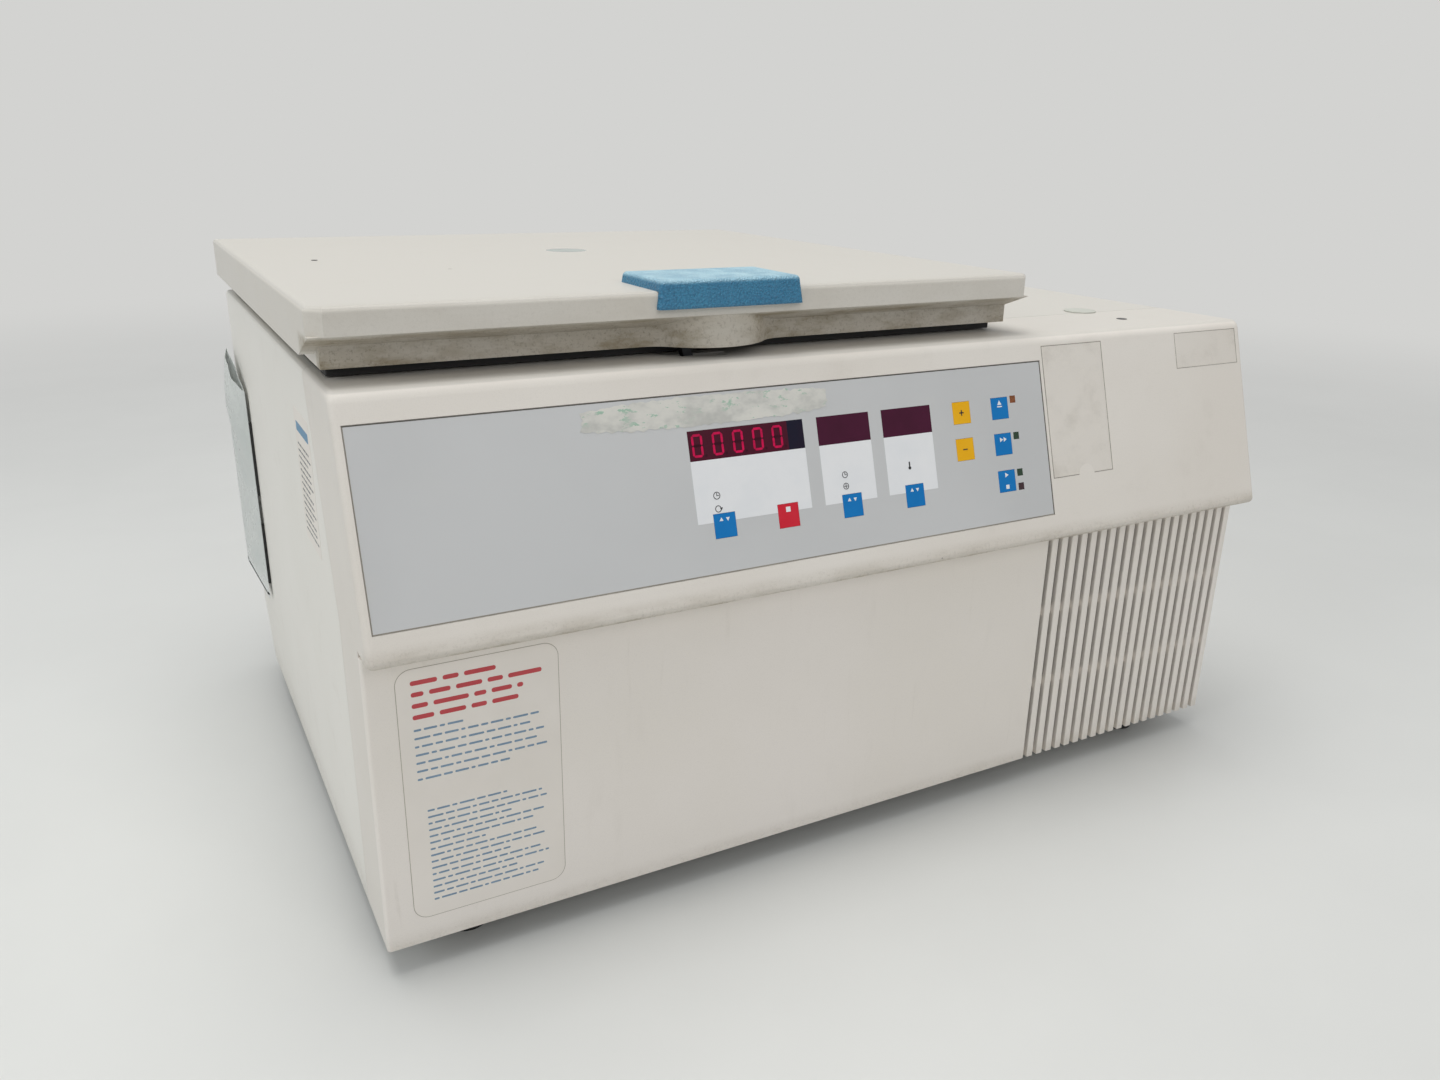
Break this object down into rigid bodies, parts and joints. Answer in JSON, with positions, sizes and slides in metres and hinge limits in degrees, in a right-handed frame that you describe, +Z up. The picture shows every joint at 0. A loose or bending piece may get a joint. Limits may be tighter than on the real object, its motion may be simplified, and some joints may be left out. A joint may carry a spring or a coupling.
{
  "type": "microplate centrifuge",
  "caption": "Refrigerated bench-top centrifuge with a hinged lid, swing-out microplate rotor, keypad front panel and ribbed intake grille.",
  "frame": {"origin": "centre of the footprint of the whole machine, on the bench under the feet", "axes": "+X along the front to the right, +Y from the control panel to the rear, +Z up"},
  "size_m": [0.704, 0.507, 0.3965],
  "materials": {
    "housing_plastic": "warm off-white, fine structured paint",
    "chassis_steel": "grey powder coat",
    "stainless": "satin stainless steel",
    "machined_steel": "machined steel",
    "aluminium": "machined aluminium",
    "black_rubber": "black rubber",
    "foam": "closed-cell insulation foam",
    "copper": "copper tube",
    "black_paint": "black enamel",
    "black_plastic": "black plastic",
    "circuit_board": "green circuit board",
    "display_red": "dark red filter",
    "module_black": "display module",
    "panel_foil": "light grey membrane",
    "led_lens": "status light lens",
    "grip_blue": "blue grained plastic",
    "key_blue": "blue key",
    "key_red": "red key",
    "key_yellow": "yellow key",
    "sight_glass": "grey-green clear disc",
    "clear_sheet": "clear plastic sheet"
  },
  "bodies": {
    "base": {"base_plate": "chassis_steel", "rubber_feet": "black_rubber", "front_housing": "housing_plastic", "main_housing": "housing_plastic", "lower_front_panel": "housing_plastic", "front_grille": "housing_plastic", "rear_panel": "chassis_steel", "rear_screws": "machined_steel", "chassis_frame": "chassis_steel", "rotor_chamber": "stainless", "chamber_insulation": "foam", "guard_ring": "chassis_steel", "evaporator_coil": "copper", "chamber_gasket": "black_rubber", "shaft_boot": "black_rubber", "motor_housing": "aluminium", "motor_stator": "machined_steel", "motor_bearings": "machined_steel", "rubber_mounts": "black_rubber", "compressor": "black_paint", "condenser": "aluminium", "fan_shroud": "chassis_steel", "fan_motor": "black_paint", "refrigerant_lines": "copper", "control_board": "circuit_board", "display_board": "circuit_board", "display_modules": "module_black", "display_windows": "display_red", "status_leds": "led_lens", "membrane_foil": "panel_foil", "power_inlet": "black_plastic", "hinge_brackets": "machined_steel", "hinge_pins": "machined_steel", "lock_body": "black_paint", "document_pocket": "clear_sheet"},
    "lid": {"lid_shell": "housing_plastic", "lid_liner": "stainless", "lid_handle": "grip_blue", "sight_glass": "sight_glass", "hinge_leaves": "machined_steel", "lid_striker": "machined_steel", "lid_screws": "machined_steel"},
    "rotor": {"drive_shaft": "machined_steel", "rotor_yoke": "aluminium", "rotor_knob": "black_plastic"},
    "front_carrier": {"plate_carrier_front": "aluminium"},
    "rear_carrier": {"plate_carrier_rear": "aluminium"},
    "fan": {"condenser_fan": "black_plastic"},
    "rocker": {"mains_rocker": "black_plastic"},
    "hook": {"lock_hook": "machined_steel"},
    "key_set_speed": {"key_set_speed": "key_blue"},
    "key_brake": {"key_brake": "key_red"},
    "key_set_time": {"key_set_time": "key_blue"},
    "key_set_temperature": {"key_set_temperature": "key_blue"},
    "key_plus": {"key_plus": "key_yellow"},
    "key_minus": {"key_minus": "key_yellow"},
    "key_lid": {"key_lid": "key_blue"},
    "key_quick_run": {"key_quick_run": "key_blue"},
    "key_start_stop": {"key_start_stop": "key_blue"}
  },
  "joints": [
    {"name": "lid_hinge", "type": "hinge", "parent": "base", "child": "lid", "pos_m": [-0.101, 0.2415, 0.372], "axis": [-1, 0, 0], "range_deg": [0, 72]},
    {"name": "rotor_spin", "type": "hinge", "parent": "base", "child": "rotor", "pos_m": [-0.101, 0.0365, 0.258], "axis": [0, 0, 1], "continuous": true},
    {"name": "front_carrier_swing", "type": "hinge", "parent": "rotor", "child": "front_carrier", "pos_m": [-0.101, -0.0515, 0.258], "axis": [-1, 0, 0], "range_deg": [0, 90]},
    {"name": "rear_carrier_swing", "type": "hinge", "parent": "rotor", "child": "rear_carrier", "pos_m": [-0.101, 0.1245, 0.258], "axis": [1, 0, 0], "range_deg": [0, 90]},
    {"name": "fan_spin", "type": "hinge", "parent": "base", "child": "fan", "pos_m": [0.252, -0.1477, 0.112], "axis": [0, 1, 0], "continuous": true},
    {"name": "mains_rocker_tilt", "type": "hinge", "parent": "base", "child": "rocker", "pos_m": [0.302, 0.2435, 0.1285], "axis": [-1, 0, 0], "range_deg": [0, 20]},
    {"name": "lock_hook_turn", "type": "hinge", "parent": "base", "child": "hook", "pos_m": [-0.101, -0.1845, 0.318], "axis": [0, 1, 0], "range_deg": [0, 18]},
    {"name": "key_set_speed_press", "type": "slide", "parent": "base", "child": "key_set_speed", "axis": [0, 0.9559, -0.2935], "range_m": [0, 0.0005], "stiffness_N_per_m": 400},
    {"name": "key_brake_press", "type": "slide", "parent": "base", "child": "key_brake", "axis": [0, 0.9559, -0.2935], "range_m": [0, 0.0005], "stiffness_N_per_m": 400},
    {"name": "key_set_time_press", "type": "slide", "parent": "base", "child": "key_set_time", "axis": [0, 0.9559, -0.2935], "range_m": [0, 0.0005], "stiffness_N_per_m": 400},
    {"name": "key_set_temperature_press", "type": "slide", "parent": "base", "child": "key_set_temperature", "axis": [0, 0.9559, -0.2935], "range_m": [0, 0.0005], "stiffness_N_per_m": 400},
    {"name": "key_plus_press", "type": "slide", "parent": "base", "child": "key_plus", "axis": [0, 0.9559, -0.2935], "range_m": [0, 0.0005], "stiffness_N_per_m": 400},
    {"name": "key_minus_press", "type": "slide", "parent": "base", "child": "key_minus", "axis": [0, 0.9559, -0.2935], "range_m": [0, 0.0005], "stiffness_N_per_m": 400},
    {"name": "key_lid_press", "type": "slide", "parent": "base", "child": "key_lid", "axis": [0, 0.9559, -0.2935], "range_m": [0, 0.0005], "stiffness_N_per_m": 400},
    {"name": "key_quick_run_press", "type": "slide", "parent": "base", "child": "key_quick_run", "axis": [0, 0.9559, -0.2935], "range_m": [0, 0.0005], "stiffness_N_per_m": 400},
    {"name": "key_start_stop_press", "type": "slide", "parent": "base", "child": "key_start_stop", "axis": [0, 0.9559, -0.2935], "range_m": [0, 0.0005], "stiffness_N_per_m": 400}
  ]
}
